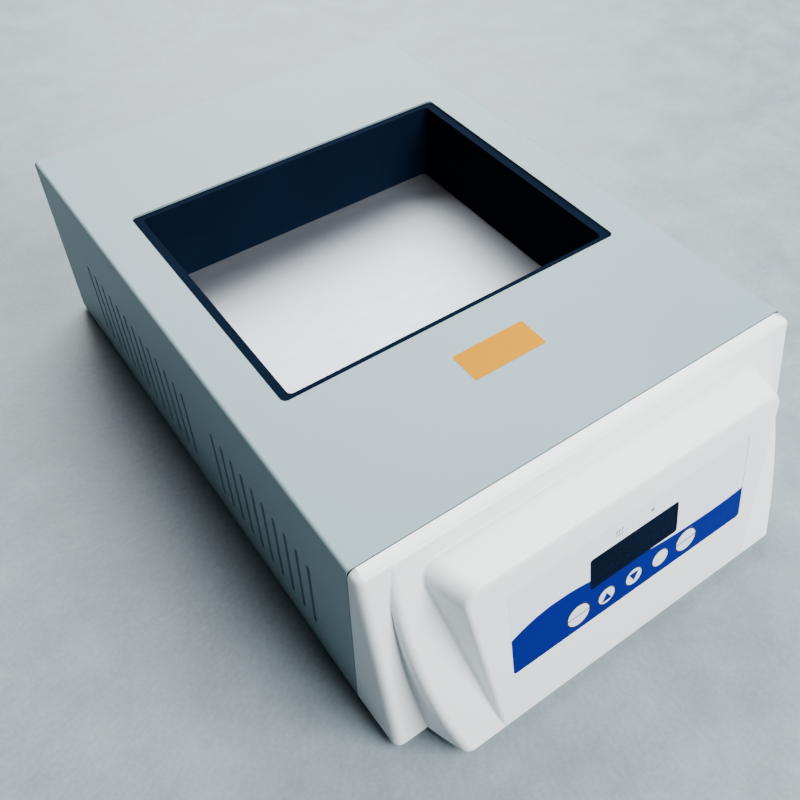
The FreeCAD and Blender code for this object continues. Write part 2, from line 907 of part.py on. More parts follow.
def control_board():
    middle = overlay_base + overlay_height / 2.0
    back = -board_behind_face - board_thickness
    plate = panel_rect(board_width, middle - board_height / 2.0, board_height, back, -board_behind_face,
                       board_corner_radius)
    holes = [rod(u, v, back - overcut, screw_hole_radius, board_thickness + 2.0 * overcut)
             for u, v in board_corner_places()]
    return on_panel(without(plate, holes))


def board_screws():
    back = -board_behind_face - board_thickness
    length = board_thickness + board_screw_bite
    return [on_panel(pan_screw(Vector(u, v, back), up_axis, length, boss_bore_radius))
            for u, v in board_corner_places()]


def key_switches():
    half = switch_body / 2.0
    base = -board_behind_face
    pieces = []
    for name, u, radius in key_list():
        body = block(u - half, u + half, key_height - half, key_height + half, base,
                     base + switch_body_height)
        button = rod(u, key_height, base, switch_button_radius, switch_height)
        pieces.append(on_panel(joined([body, button])))
    return pieces


def digit_module():
    base = window_base + (window_height - digit_module_height) / 2.0
    low = -board_behind_face
    face = low + digit_module_depth
    half = digit_module_width / 2.0
    body = block(-half, half, base, base + digit_module_height, low, face)
    rim = digit_module_rim
    well = block(rim - half, half - rim, base + 3.0 * rim, base + digit_module_height - 3.0 * rim,
                 face - digit_module_recess, face + overcut)
    return on_panel(body.cut(well))


def indicator_lamps():
    base = -board_behind_face
    lamps = []
    for u in (-lamp_spacing / 2.0, lamp_spacing / 2.0):
        stem = rod(u, lamp_height, base, lamp_radius, lamp_length - lamp_radius)
        dome = Part.makeSphere(lamp_radius, Vector(u, lamp_height, base + lamp_length - lamp_radius))
        collar = rod(u, lamp_height, base, lamp_radius + lamp_collar, lamp_collar_height)
        lamps.append(on_panel(joined([stem, dome, collar])))
    return lamps


# Well and heating stack


def well_liner():
    half_w = well_width / 2.0
    half_l = well_length / 2.0
    top = case_top - sheet
    tube = rounded_block(-half_w - liner_wall, half_w + liner_wall, well_y - half_l - liner_wall,
                         well_y + half_l + liner_wall, floor_z + seat_gap, top,
                         well_corner_radius + liner_wall)
    reach_x = cover_hole_width / 2.0 + liner_flange_reach
    reach_y = cover_hole_length / 2.0 + liner_flange_reach
    flange = rounded_block(-reach_x, reach_x, well_y - reach_y, well_y + reach_y, top - liner_wall, top,
                           cover_hole_radius + liner_flange_reach)
    inside = rounded_block(-half_w, half_w, well_y - half_l, well_y + half_l, floor_z - overcut,
                           top + overcut, well_corner_radius)
    return joined([tube, flange]).cut(inside)


def stack_layer(half_w, half_l, low, high):
    # A flat layer with square notches that clear the corner standoffs.
    layer = block(-half_w, half_w, well_y - half_l, well_y + half_l, low, high)
    cuts = []
    for x, y in corners(plate_half_width, plate_half_length):
        x0, x1 = sorted([x, x - math.copysign(stack_corner_notch, x)])
        y0, y1 = sorted([y, y - math.copysign(stack_corner_notch, y)])
        cuts.append(block(x0 - overcut, x1 + overcut, well_y + y0 - overcut, well_y + y1 + overcut,
                          low - overcut, high + overcut))
    return without(layer, cuts)


def clamp_screw_places():
    x = mat_half_width - clamp_screw_inset_side
    y = mat_half_length - clamp_screw_inset_end
    return [(px, well_y + py) for px, py in corners(x, y) + [(0.0, -y), (0.0, y)]]


def heating_plate():
    plate = rounded_block(-plate_half_width, plate_half_width, well_y - plate_half_length,
                          well_y + plate_half_length, plate_bottom, floor_z, plate_corner_radius)
    low = plate_bottom - overcut
    holes = [rod(x, y, low, screw_radius, plate_tap_depth + overcut) for x, y in standoff_places()]
    holes += [rod(x, y, low, clamp_screw_radius, plate_tap_depth + overcut)
              for x, y in clamp_screw_places()]
    bore_start = well_y + plate_half_length - probe_length
    holes.append(rod(probe_x, bore_start, plate_bottom + plate_thickness / 2.0,
                     probe_radius + probe_clearance, probe_length + overcut, depth_axis))
    return without(plate, holes)


def layer_with_holes(low, high):
    layer = stack_layer(mat_half_width, mat_half_length, low, high)
    depth = high - low + 2.0 * overcut
    return without(layer, [rod(x, y, low - overcut, clamp_screw_radius + screw_gap, depth)
                           for x, y in clamp_screw_places()])


def heater_mat():
    return layer_with_holes(mat_bottom, plate_bottom)


def clamp_plate():
    return layer_with_holes(clamp_bottom, mat_bottom)


def clamp_screws():
    length = clamp_thickness + mat_thickness + plate_screw_bite
    return [pan_screw(Vector(x, y, clamp_bottom), up_axis, length, clamp_screw_radius - screw_gap)
            for x, y in clamp_screw_places()]


def insulation_pad():
    pad = stack_layer(plate_half_width, plate_half_length, insulation_bottom, clamp_bottom)
    pocket_depth = screw_head_height + seat_gap
    pockets = [rod(x, y, clamp_bottom - pocket_depth, screw_head_radius + head_gap, pocket_depth + overcut)
               for x, y in clamp_screw_places()]
    middle = rod(0.0, well_y, insulation_bottom - overcut, thermostat_radius + thermostat_gap,
                 insulation_thickness + 2.0 * overcut)
    return without(pad, pockets + [middle])


def safety_thermostat():
    # A bimetal disc cut-out: metal cup against the clamp plate, moulded body and two tabs below.
    cup_low = clamp_bottom - thermostat_cup
    body_low = cup_low - thermostat_body
    pieces = [rod(0.0, well_y, cup_low, thermostat_radius, thermostat_cup),
              rod(0.0, well_y, body_low, thermostat_radius - thermostat_step, thermostat_body)]
    for x in (-tab_spacing / 2.0, tab_spacing / 2.0):
        pieces.append(block(x - tab_thickness / 2.0, x + tab_thickness / 2.0, well_y - tab_width / 2.0,
                            well_y + tab_width / 2.0, body_low - tab_length, body_low))
    return joined(pieces)


def insulation_tray():
    # A sheet tray on two turned legs that holds the insulation up against the stack.
    low = insulation_bottom - sheet
    pieces = [stack_layer(plate_half_width, plate_half_length, low, insulation_bottom)]
    reach = plate_half_width - stack_corner_notch - tray_leg_inset
    for side in (-1.0, 1.0):
        edge = well_y + side * plate_half_length
        y0, y1 = sorted([edge, edge - side * sheet])
        pieces.append(block(-reach, reach, y0, y1, pan_top, low))
        y0, y1 = sorted([edge, edge - side * tray_foot])
        pieces.append(block(-reach, reach, y0, y1, pan_top, pan_top + sheet))
    opening = rod(0.0, well_y, low - overcut, thermostat_radius + thermostat_gap, sheet + 2.0 * overcut)
    return joined(pieces).cut(opening)


def plate_standoffs():
    posts = []
    for x, y in standoff_places():
        post = rod(x, y, pan_top, standoff_radius, plate_bottom - pan_top)
        stud = rod(x, y, plate_bottom, screw_radius - screw_gap, stud_length)
        bore = rod(x, y, pan_top - overcut, screw_radius, standoff_bore_depth + overcut)
        posts.append(joined([post, stud]).cut(bore))
    return posts


def temperature_probe():
    z = plate_bottom + plate_thickness / 2.0
    start = well_y + plate_half_length - probe_length + seat_gap
    length = probe_length + probe_stand_out
    sheath = rod(probe_x, start, z, probe_radius, length, depth_axis)
    sleeve = rod(probe_x, start + length, z, probe_radius - sleeve_step, sleeve_length, depth_axis)
    return joined([sheath, sleeve])


# Rear wall parts


def socket_profile(width, height, chamfer, y0, y1, x, z):
    # The inlet's outline: a rectangle with its two upper corners cut off.
    w = width / 2.0
    h = height / 2.0
    outline = [(-w, -h), (w, -h), (w, h - chamfer), (w - chamfer, h), (chamfer - w, h), (-w, h - chamfer)]
    points = [Vector(x + px, y0, z + pz) for px, pz in outline]
    return Part.Face(Part.makePolygon(points + [points[0]])).extrude(Vector(0.0, y1 - y0, 0.0))


def drawer_box(gap, y0, y1):
    return block(inlet_x - drawer_width / 2.0 - gap, inlet_x + drawer_width / 2.0 + gap, y0, y1,
                 drawer_z - drawer_height / 2.0 - gap, drawer_z + drawer_height / 2.0 + gap)


def blade_places():
    side = blade_spacing / 2.0
    return [(inlet_x - side, socket_z - blade_offset), (inlet_x + side, socket_z - blade_offset),
            (inlet_x, socket_z + blade_offset)]


def blade_box(x, z, y0, y1):
    half = blade_height / 2.0
    return block(x - blade_width / 2.0, x + blade_width / 2.0, y0, y1, z - half, z + half)


def power_inlet():
    flange = rounded_block(inlet_x - inlet_flange_width / 2.0, inlet_x + inlet_flange_width / 2.0,
                           inlet_y, inlet_face, inlet_z - inlet_flange_height / 2.0,
                           inlet_z + inlet_flange_height / 2.0, inlet_corner_radius, depth_axis)
    back = inlet_y - inlet_body_depth
    body = block(inlet_x - inlet_body_width / 2.0, inlet_x + inlet_body_width / 2.0, back, inlet_y,
                 inlet_z - inlet_body_height / 2.0, inlet_z + inlet_body_height / 2.0)
    floor = inlet_face - socket_depth
    cuts = [socket_profile(socket_width, socket_height, socket_chamfer, floor, inlet_face + overcut,
                           inlet_x, socket_z)]
    cuts.append(drawer_box(drawer_gap, inlet_face - drawer_depth - drawer_back_gap, inlet_face + overcut))
    cuts += [rod(x, inlet_y - overcut, inlet_z, screw_hole_radius, inlet_flange_thickness + 2.0 * overcut,
                 depth_axis) for x in inlet_screw_places()]
    cuts += [blade_box(x, z, back - overcut, floor + overcut) for x, z in blade_places()]
    return without(joined([flange, body]), cuts)


def inlet_blades():
    tip = inlet_face - socket_depth + blade_length
    back = inlet_y - inlet_body_depth - tail_length
    blades = []
    for x, z in blade_places():
        pin = blade_box(x, z, back, tip)
        tip_edges = [e for e in pin.Edges if abs(e.CenterOfMass.y - tip) < 1e-4]
        blades.append(pin.makeChamfer(blade_chamfer, tip_edges))
    return blades


def fuse_drawer():
    back = inlet_face - drawer_depth
    tray = drawer_box(0.0, back, inlet_face)
    hollow_back = back + drawer_wall
    hollow = block(inlet_x - drawer_width / 2.0 + drawer_wall, inlet_x + drawer_width / 2.0 - drawer_wall,
                   hollow_back, hollow_back + fuse_length + 2.0 * fuse_gap,
                   drawer_z - drawer_height / 2.0 + drawer_wall, drawer_z + drawer_height)
    low = drawer_z - drawer_height / 2.0 - drawer_lip_end
    high = drawer_z + drawer_height / 2.0 + drawer_lip_end
    outside = inlet_face + drawer_front
    half = drawer_width / 2.0 + drawer_lip_side
    front = rounded_block(inlet_x - half, inlet_x + half, inlet_face + drawer_lip_gap, outside,
                          low, high, drawer_lip_side, depth_axis)
    neck = drawer_box(-drawer_neck, inlet_face - drawer_neck, inlet_face + drawer_neck)
    grip = rod(inlet_x - grip_length / 2.0, outside, high, grip_radius, grip_length, side_axis)
    return joined([tray, neck, front]).cut(hollow).cut(grip)


def fuses():
    start = inlet_face - drawer_depth + drawer_wall + fuse_gap
    z = drawer_z - drawer_height / 2.0 + drawer_wall + fuse_radius
    pieces = []
    for side in (-1.0, 1.0):
        x = inlet_x + side * drawer_width / 4.0
        glass = rod(x, start, z, fuse_radius - fuse_step, fuse_length, depth_axis)
        caps = [rod(x, y, z, fuse_radius, fuse_cap, depth_axis)
                for y in (start, start + fuse_length - fuse_cap)]
        pieces.append(joined([glass] + caps))
    return pieces


def pivot_point():
    return Vector(rocker_x, rear_face - pivot_sink, inlet_z)


def switch_shell():
    face = rear_face + switch_flange_thickness
    flange = rounded_block(rocker_x - switch_flange_width / 2.0, rocker_x + switch_flange_width / 2.0,
                           rear_face, face, inlet_z - switch_flange_height / 2.0,
                           inlet_z + switch_flange_height / 2.0, switch_corner_radius, depth_axis)
    back = rear_face - switch_shell_depth
    half_w = switch_shell_width / 2.0
    half_h = switch_shell_height / 2.0
    wall = switch_shell_wall
    body = block(rocker_x - half_w, rocker_x + half_w, back, rear_face, inlet_z - half_h, inlet_z + half_h)
    tab = switch_tab_width / 2.0
    tabs = [block(rocker_x - tab, rocker_x + tab, back - switch_tab_length, back, inlet_z + z,
                  inlet_z + z + switch_tab_thickness) for z in (switch_tab_low, switch_tab_high)]
    pocket = block(rocker_x - half_w + wall, rocker_x + half_w - wall,
                   rear_face - rocker_depth - pocket_past, face + overcut,
                   inlet_z - half_h + wall, inlet_z + half_h - wall)
    pivot = pivot_point()
    socket = rod(rocker_x - half_w + pivot_wall, pivot.y, pivot.z, pivot_radius + pivot_gap,
                 switch_shell_width - 2.0 * pivot_wall, side_axis)
    return without(joined([flange, body] + tabs), [pocket, socket])


def rocker_outline():
    # Side view of the rocker at its middle position, in the pivot's Y and Z.
    half = rocker_half_height
    keel = rocker_keel_rise - rocker_depth
    outline = [(keel, -rocker_keel), (rocker_shoulder, -half), (rocker_face, -half),
               (rocker_face - rocker_dish, 0.0), (rocker_face, half), (rocker_shoulder, half),
               (keel, rocker_keel)]
    return [Vector(0.0, y, z) for y, z in outline]


def switch_rocker():
    pivot = pivot_point()
    half = switch_shell_width / 2.0 - switch_shell_wall - rocker_gap
    points = [p + pivot - Vector(half, 0.0, 0.0) for p in rocker_outline()]
    paddle = Part.Face(Part.makePolygon(points + [points[0]])).extrude(Vector(2.0 * half, 0.0, 0.0))
    stub = switch_shell_width / 2.0 - 2.0 * pivot_wall
    pins = rod(rocker_x - stub, pivot.y, pivot.z, pivot_radius, 2.0 * stub, side_axis)
    rocker = joined([paddle, pins])
    rocker.rotate(pivot, side_axis, rocker_tilt)
    return rocker


# Power electronics


def power_board():
    x0 = power_board_x - power_board_width / 2.0
    y0 = board_y - power_board_length / 2.0
    plate = block(x0, x0 + power_board_width, y0, y0 + power_board_length, board_z, board_top)
    return without(plate, [rod(x, y, board_z - overcut, screw_hole_radius, board_thickness + 2.0 * overcut)
                           for x, y in board_post_places()])


def power_board_screws():
    return [pan_screw(Vector(x, y, board_top), Vector(0.0, 0.0, -1.0), board_thickness + post_screw_bite,
                      screw_radius - post_screw_gap) for x, y in board_post_places()]


def sink_place():
    return power_board_x - power_board_width / 2.0 + sink_from_board_end, board_y - sink_offset


def heat_sink():
    x, y = sink_place()
    left = x - sink_width / 2.0
    high = board_top + sink_height
    pieces = [block(left, left + sink_width, y, y + sink_base, board_top, high)]
    step = (sink_width - fin_thickness) / (fin_count - 1)
    for k in range(fin_count):
        fin = left + k * step
        pieces.append(block(fin, fin + fin_thickness, y + sink_base, y + sink_base + fin_depth,
                            board_top, high))
    return joined(pieces)


def triac():
    x, y = sink_place()
    low = board_top + triac_lift
    pieces = [block(x - triac_width / 2.0, x + triac_width / 2.0, y - triac_thickness, y,
                    low, low + triac_height)]
    half = lead_width / 2.0
    for k in (-1, 0, 1):
        lead = x + k * lead_pitch
        pieces.append(block(lead - half, lead + half, y - lead_back, y - lead_back + lead_thickness,
                            board_top, low))
    return joined(pieces)


def terminal_block():
    length = terminal_ways * terminal_pitch
    x0 = power_board_x + power_board_width / 2.0 - length - terminal_end
    y0 = board_y - power_board_length / 2.0 + terminal_edge
    body = block(x0, x0 + length, y0, y0 + terminal_depth, board_top, board_top + terminal_height)
    mouth_z = board_top + terminal_height / 2.0 - terminal_bore_drop
    screw_z = board_top + terminal_height - terminal_screw_depth
    cuts = []
    for k in range(terminal_ways):
        x = x0 + (k + 0.5) * terminal_pitch
        cuts.append(rod(x, y0 - overcut, mouth_z, terminal_bore_radius, terminal_bore_depth, depth_axis))
        cuts.append(rod(x, y0 + terminal_depth / 2.0, screw_z, terminal_bore_radius,
                        2.0 * terminal_screw_depth))
    return without(body, cuts)


def core_block(half_w, half_l, low, high):
    return block(core_x - half_w, core_x + half_w, core_y - half_l, core_y + half_l, low, high)


def transformer_core():
    # Laminated frame with a middle leg and two feet.
    half = core_width / 2.0
    length = core_length / 2.0
    top = pan_top + core_height
    yoke = core_height / 6.0
    frame = core_block(half, length, pan_top, top)
    window = core_block(half - core_width / 6.0, core_length, pan_top + yoke, top - yoke)
    leg = core_block(core_width / 6.0, length, pan_top, top)
    feet = core_block(half + core_foot, core_foot_length / 2.0, pan_top, pan_top + core_foot_thickness)
    core = joined([frame.cut(window), leg, feet])
    depth = core_foot_thickness + 2.0 * overcut
    return without(core, [rod(x, y, pan_top - overcut, screw_hole_radius, depth)
                          for x, y in core_foot_places()])


def transformer_coil():
    middle = pan_top + core_height / 2.0
    half_w = core_width / 3.0 - seat_gap
    half_l = core_length / 2.0 + coil_overhang
    half_h = core_height / 3.0 - seat_gap
    coil = rounded_block(core_x - half_w, core_x + half_w, core_y - half_l, core_y + half_l,
                         middle - half_h, middle + half_h, coil_radius)
    leg = core_block(core_width / 6.0, core_length / 2.0 + coil_leg_gap, middle - core_height,
                     middle + core_height)
    return coil.cut(leg)


def core_screws():
    length = core_foot_thickness + sheet + core_screw_past
    return [pan_screw(Vector(x, y, pan_top + core_foot_thickness), Vector(0.0, 0.0, -1.0), length)
            for x, y in core_foot_places()]


def earth_stud():
    y = seam + earth_from_seam
    across = nut_width / math.sqrt(3.0)
    sides = []
    for k in range(6):
        turn = math.radians(60.0 * k)
        sides.append(Vector(earth_x + across * math.cos(turn), y + across * math.sin(turn), pan_top))
    nut = Part.Face(Part.makePolygon(sides + [sides[0]])).extrude(Vector(0.0, 0.0, nut_height))
    return joined([rod(earth_x, y, pan_top, earth_radius, earth_height), nut])


def amber_patch():
    y = seam + patch_from_seam
    return rounded_block(patch_x - patch_width / 2.0, patch_x + patch_width / 2.0, y - patch_length / 2.0,
                         y + patch_length / 2.0, case_top, case_top + patch_thickness, patch_radius)


def build():
    pieces = {
        "case_cover": case_cover(),
        "base_pan": base_pan(),
        "front_bulkhead": front_bulkhead(),
        "rear_panel": rear_panel(),
        "rear_screws": rear_screws(),
        "rubber_feet": rubber_feet(),
        "foot_screws": foot_screws(),
        "front_bezel": front_bezel(),
        "bezel_screws": bezel_screws(),
        "control_overlay": control_overlay(),
        "display_window": display_window(),
        "control_board": control_board(),
        "board_screws": board_screws(),
        "key_switches": key_switches(),
        "digit_module": digit_module(),
        "indicator_lamps": indicator_lamps(),
        "well_liner": well_liner(),
        "heating_plate": heating_plate(),
        "heater_mat": heater_mat(),
        "clamp_plate": clamp_plate(),
        "clamp_screws": clamp_screws(),
        "insulation_pad": insulation_pad(),
        "insulation_tray": insulation_tray(),
        "plate_standoffs": plate_standoffs(),
        "standoff_screws": standoff_screws(),
        "temperature_probe": temperature_probe(),
        "safety_thermostat": safety_thermostat(),
        "power_inlet": power_inlet(),
        "inlet_blades": inlet_blades(),
        "inlet_screws": inlet_screws(),
        "fuse_drawer": fuse_drawer(),
        "fuses": fuses(),
        "switch_shell": switch_shell(),
        "switch_rocker": switch_rocker(),
        "power_board": power_board(),
        "power_board_screws": power_board_screws(),
        "heat_sink": heat_sink(),
        "triac": triac(),
        "terminal_block": terminal_block(),
        "transformer_core": transformer_core(),
        "transformer_coil": transformer_coil(),
        "core_screws": core_screws(),
        "earth_stud": earth_stud(),
        "amber_patch": amber_patch(),
    }
    for name, u, radius in key_list():
        pieces[name] = key_cap(u, radius)
    return pieces


os.makedirs("parts", exist_ok=True)
for name, piece in build().items():
    shape = Part.makeCompound(piece) if isinstance(piece, list) else piece
    shape.exportStep(os.path.join("parts", name + ".step"))
    print(name, "solids", len(shape.Solids), "valid", shape.isValid(), "volume", round(shape.Volume, 1))
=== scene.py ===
import json
import math

import bpy
from mathutils import Matrix, Vector

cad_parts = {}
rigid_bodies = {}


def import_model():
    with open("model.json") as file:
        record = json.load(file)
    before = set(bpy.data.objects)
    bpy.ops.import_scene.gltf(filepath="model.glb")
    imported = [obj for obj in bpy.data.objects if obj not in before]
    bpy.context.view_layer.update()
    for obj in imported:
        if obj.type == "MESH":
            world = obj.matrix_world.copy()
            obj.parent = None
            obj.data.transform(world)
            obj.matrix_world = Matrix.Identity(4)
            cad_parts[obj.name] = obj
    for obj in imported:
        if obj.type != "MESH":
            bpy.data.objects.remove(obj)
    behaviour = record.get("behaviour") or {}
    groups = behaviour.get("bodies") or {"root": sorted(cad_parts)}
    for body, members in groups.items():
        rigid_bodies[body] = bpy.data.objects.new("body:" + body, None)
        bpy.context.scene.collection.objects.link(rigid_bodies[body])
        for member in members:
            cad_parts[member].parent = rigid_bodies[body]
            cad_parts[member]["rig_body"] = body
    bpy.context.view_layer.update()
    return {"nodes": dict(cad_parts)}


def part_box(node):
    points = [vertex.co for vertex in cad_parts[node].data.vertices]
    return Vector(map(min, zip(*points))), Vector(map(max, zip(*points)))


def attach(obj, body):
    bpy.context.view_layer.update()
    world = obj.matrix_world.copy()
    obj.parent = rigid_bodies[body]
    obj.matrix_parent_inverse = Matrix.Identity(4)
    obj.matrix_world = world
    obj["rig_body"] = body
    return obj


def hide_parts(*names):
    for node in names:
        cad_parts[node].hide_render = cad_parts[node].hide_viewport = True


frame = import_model()
nodes = frame["nodes"]
print("frame loaded,", len(nodes), "nodes")

mm = 0.001
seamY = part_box("case_cover")[0].y - 0.6 * mm  # where the bezel meets the cover
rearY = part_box("rear_panel")[1].y
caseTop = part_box("case_cover")[1].z
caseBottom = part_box("case_cover")[0].z
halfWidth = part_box("case_cover")[1].x
wellMiddleY = (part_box("well_liner")[0].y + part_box("well_liner")[1].y) / 2

panel = {"tilt": 12.0, "chinRise": 5.107}  # degrees and millimetres
panelFrame = (Matrix.Translation((0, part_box("front_bezel")[0].y, caseBottom + panel["chinRise"] * mm))
              @ Matrix.Rotation(math.radians(90 - panel["tilt"]), 4, "X"))


# picking and shaping

def clearPick():
    if bpy.context.object and bpy.context.object.mode != "OBJECT":
        bpy.ops.object.mode_set(mode="OBJECT")
    bpy.ops.object.select_all(action="DESELECT")


def makeActive(piece):
    clearPick()
    piece.select_set(True)
    bpy.context.view_layer.objects.active = piece
    return piece


def settle(piece):
    makeActive(piece)
    bpy.ops.object.transform_apply(location=True, rotation=True, scale=True)
    return piece


def nameIt(name):
    piece = bpy.context.object
    piece.name = name
    piece.data.name = name
    return piece


def block(name, low, high):
    clearPick()
    low, high = Vector(low), Vector(high)
    bpy.ops.mesh.primitive_cube_add(size=1, location=(low + high) / 2)
    piece = nameIt(name)
    piece.scale = high - low
    return settle(piece)


def disc(name, middle, radius, depth, sides=48, turn=(0, 0, 0)):
    clearPick()
    bpy.ops.mesh.primitive_cylinder_add(vertices=sides, radius=radius, depth=depth, location=middle,
                                        rotation=turn)
    return settle(nameIt(name))


def pickEdges(piece, test):
    makeActive(piece)
    bpy.ops.object.mode_set(mode="EDIT")
    bpy.ops.mesh.select_mode(type="EDGE")
    bpy.ops.mesh.select_all(action="DESELECT")
    bpy.ops.object.mode_set(mode="OBJECT")
    spots = [v.co for v in piece.data.vertices]
    for edge in piece.data.edges:
        edge.select = test(spots[edge.vertices[0]], spots[edge.vertices[1]])
    bpy.ops.object.mode_set(mode="EDIT")


def pickFaces(piece, test):
    makeActive(piece)
    bpy.ops.object.mode_set(mode="EDIT")
    bpy.ops.mesh.select_mode(type="FACE")
    bpy.ops.mesh.select_all(action="DESELECT")
    bpy.ops.object.mode_set(mode="OBJECT")
    for face in piece.data.polygons:
        face.select = test(face.center, face.normal)
    bpy.ops.object.mode_set(mode="EDIT")


def leaveEdit():
    bpy.ops.object.mode_set(mode="OBJECT")


def along(axis):
    # edges that run along one axis
    return lambda a, b: (b - a).normalized()[axis] ** 2 > 0.999


def roundEdges(piece, test, width, steps=6):
    pickEdges(piece, test)
    bpy.ops.mesh.bevel(offset=width, segments=steps, affect="EDGES")
    leaveEdit()
    return piece


def applyAll(piece):
    makeActive(piece)
    for modifier in list(piece.modifiers):
        bpy.ops.object.modifier_apply(modifier=modifier.name)
    return piece


def combine(piece, other, how="DIFFERENCE"):
    change = piece.modifiers.new("join", "BOOLEAN")
    change.operation = how
    change.solver = "EXACT"
    change.object = other
    applyAll(piece)
    bpy.data.objects.remove(other)
    return piece


def easeEdges(piece, width, steps=2, angle=35):
    ease = piece.modifiers.new("ease", "BEVEL")
    ease.width = width
    ease.segments = steps
    ease.limit_method = "ANGLE"
    ease.angle_limit = math.radians(angle)
    return applyAll(piece)


def smoothOff(piece, angle=30):
    makeActive(piece)
    bpy.ops.object.shade_smooth_by_angle(angle=math.radians(angle))
    weigh = piece.modifiers.new("weigh", "WEIGHTED_NORMAL")
    weigh.keep_sharp = True
    return applyAll(piece)


def repeatAlong(piece, step, count):
    row = piece.modifiers.new("row", "ARRAY")
    row.use_relative_offset = False
    row.use_constant_offset = True
    row.constant_offset_displace = step
    row.count = count
    return applyAll(piece)


def lean(piece):
    # from the flat drawing of the panel to its slanted place
    piece.matrix_world = panelFrame @ piece.matrix_world
    return settle(piece)


def seat(piece, body, finish, slotName, *stoodFor):
    piece.data.materials.clear()
    piece.data.materials.append(finish)
    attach(piece, body)
    if stoodFor:
        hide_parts(*stoodFor)
    return piece


def bodyOf(node):
    return nodes[node]["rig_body"]


def dressNode(node, finish, slotName, ease=0.0, angle=30, flat=0.4):
    # a clean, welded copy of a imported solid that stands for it
    source = nodes[node]
    piece = source.copy()
    piece.data = source.data.copy()
    piece.parent = None
    piece.name = node.replace("_", "") + "Shape"
    for mark in list(piece.keys()):
        del piece[mark]
    bpy.context.scene.collection.objects.link(piece)
    makeActive(piece)
    bpy.ops.object.mode_set(mode="EDIT")
    bpy.ops.mesh.select_all(action="SELECT")
    bpy.ops.mesh.remove_doubles(threshold=0.000004)
    bpy.ops.mesh.dissolve_limited(angle_limit=math.radians(flat))
    bpy.ops.object.mode_set(mode="OBJECT")
    if ease > 0:
        easeEdges(piece, ease)
    smoothOff(piece, angle)
    return seat(piece, bodyOf(node), finish, slotName, node)


# finishes, all on Object coordinates

def startFinish(name, rough, metal=0.0, shine=0.5):
    finish = bpy.data.materials.new(name)
    finish.use_nodes = True
    tree = finish.node_tree
    shader = tree.nodes["Principled BSDF"]
    shader.inputs["Roughness"].default_value = rough
    shader.inputs["Metallic"].default_value = metal
    shader.inputs["Specular IOR Level"].default_value = shine
    spot = tree.nodes.new("ShaderNodeTexCoord")
    return finish, tree, shader, spot.outputs["Object"]


def stretched(tree, spot, scale, turn=(0, 0, 0)):
    lay = tree.nodes.new("ShaderNodeMapping")
    lay.inputs["Scale"].default_value = scale
    lay.inputs["Rotation"].default_value = turn
    tree.links.new(spot, lay.inputs["Vector"])
    return lay.outputs["Vector"]


def grain(tree, spot, scale, detail=2.0, rough=0.5):
    noise = tree.nodes.new("ShaderNodeTexNoise")
    noise.inputs["Scale"].default_value = scale
    noise.inputs["Detail"].default_value = detail
    noise.inputs["Roughness"].default_value = rough
    tree.links.new(spot, noise.inputs["Vector"])
    return noise.outputs["Fac"]


def tones(tree, amount, stops):
    ramp = tree.nodes.new("ShaderNodeValToRGB")
    while len(ramp.color_ramp.elements) < len(stops):
        ramp.color_ramp.elements.new(0.5)
    for element, (place, tone) in zip(ramp.color_ramp.elements, stops):
        element.position = place
        element.color = (*tone, 1)
    tree.links.new(amount, ramp.inputs["Fac"])
    return ramp.outputs["Color"]


def spread(tree, amount, low, high):
    fit = tree.nodes.new("ShaderNodeMapRange")
    fit.inputs["From Min"].default_value = 0.3
    fit.inputs["From Max"].default_value = 0.7
    fit.inputs["To Min"].default_value = low
    fit.inputs["To Max"].default_value = high
    tree.links.new(amount, fit.inputs["Value"])
    return fit.outputs["Result"]


def raised(tree, shader, amount, strength, depth):
    bump = tree.nodes.new("ShaderNodeBump")
    bump.inputs["Strength"].default_value = strength
    bump.inputs["Distance"].default_value = depth
    tree.links.new(amount, bump.inputs["Height"])
    tree.links.new(bump.outputs["Normal"], shader.inputs["Normal"])


def shade(tone, factor):
    return tuple(min(1.0, c * factor) for c in tone)


def texturedFinish(name, tone, rough, grainScale, grainDepth, drift=0.03, shine=0.5, strength=0.35):
    # paint, moulded plastic and rubber: slow tone drift, fine grain and uneven gloss
    finish, tree, shader, spot = startFinish(name, rough, 0.0, shine)
    slow = grain(tree, spot, 14, 3)
    colour = tones(tree, slow, [(0.35, shade(tone, 1 - drift)), (0.65, shade(tone, 1 + drift))])
    tree.links.new(colour, shader.inputs["Base Color"])
    fine = grain(tree, spot, grainScale, 2.5)
    tree.links.new(spread(tree, fine, rough - 0.05, rough + 0.05), shader.inputs["Roughness"])
    raised(tree, shader, fine, strength, grainDepth)
    return finish


def brushedFinish(name, tone, rough, run, lineScale, drift=0.05):
    # metal brushed along one axis: run is 0, 1 or 2
    finish, tree, shader, spot = startFinish(name, rough, 1.0)
    scale = [lineScale] * 3
    scale[run] = lineScale / 60
    lines = grain(tree, stretched(tree, spot, scale), 1.0, 3.0, 0.6)
    slow = grain(tree, spot, 9, 2)
    both = tree.nodes.new("ShaderNodeMix")
    both.inputs["Factor"].default_value = 0.5
    tree.links.new(lines, both.inputs["A"])
    tree.links.new(slow, both.inputs["B"])
    stops = [(0.3, shade(tone, 1 - drift)), (0.7, shade(tone, 1 + drift))]
    colour = tones(tree, both.outputs["Result"], stops)
    tree.links.new(colour, shader.inputs["Base Color"])
    tree.links.new(spread(tree, lines, rough - 0.06, rough + 0.06), shader.inputs["Roughness"])
    raised(tree, shader, lines, 0.12, 0.00004)
    return finish


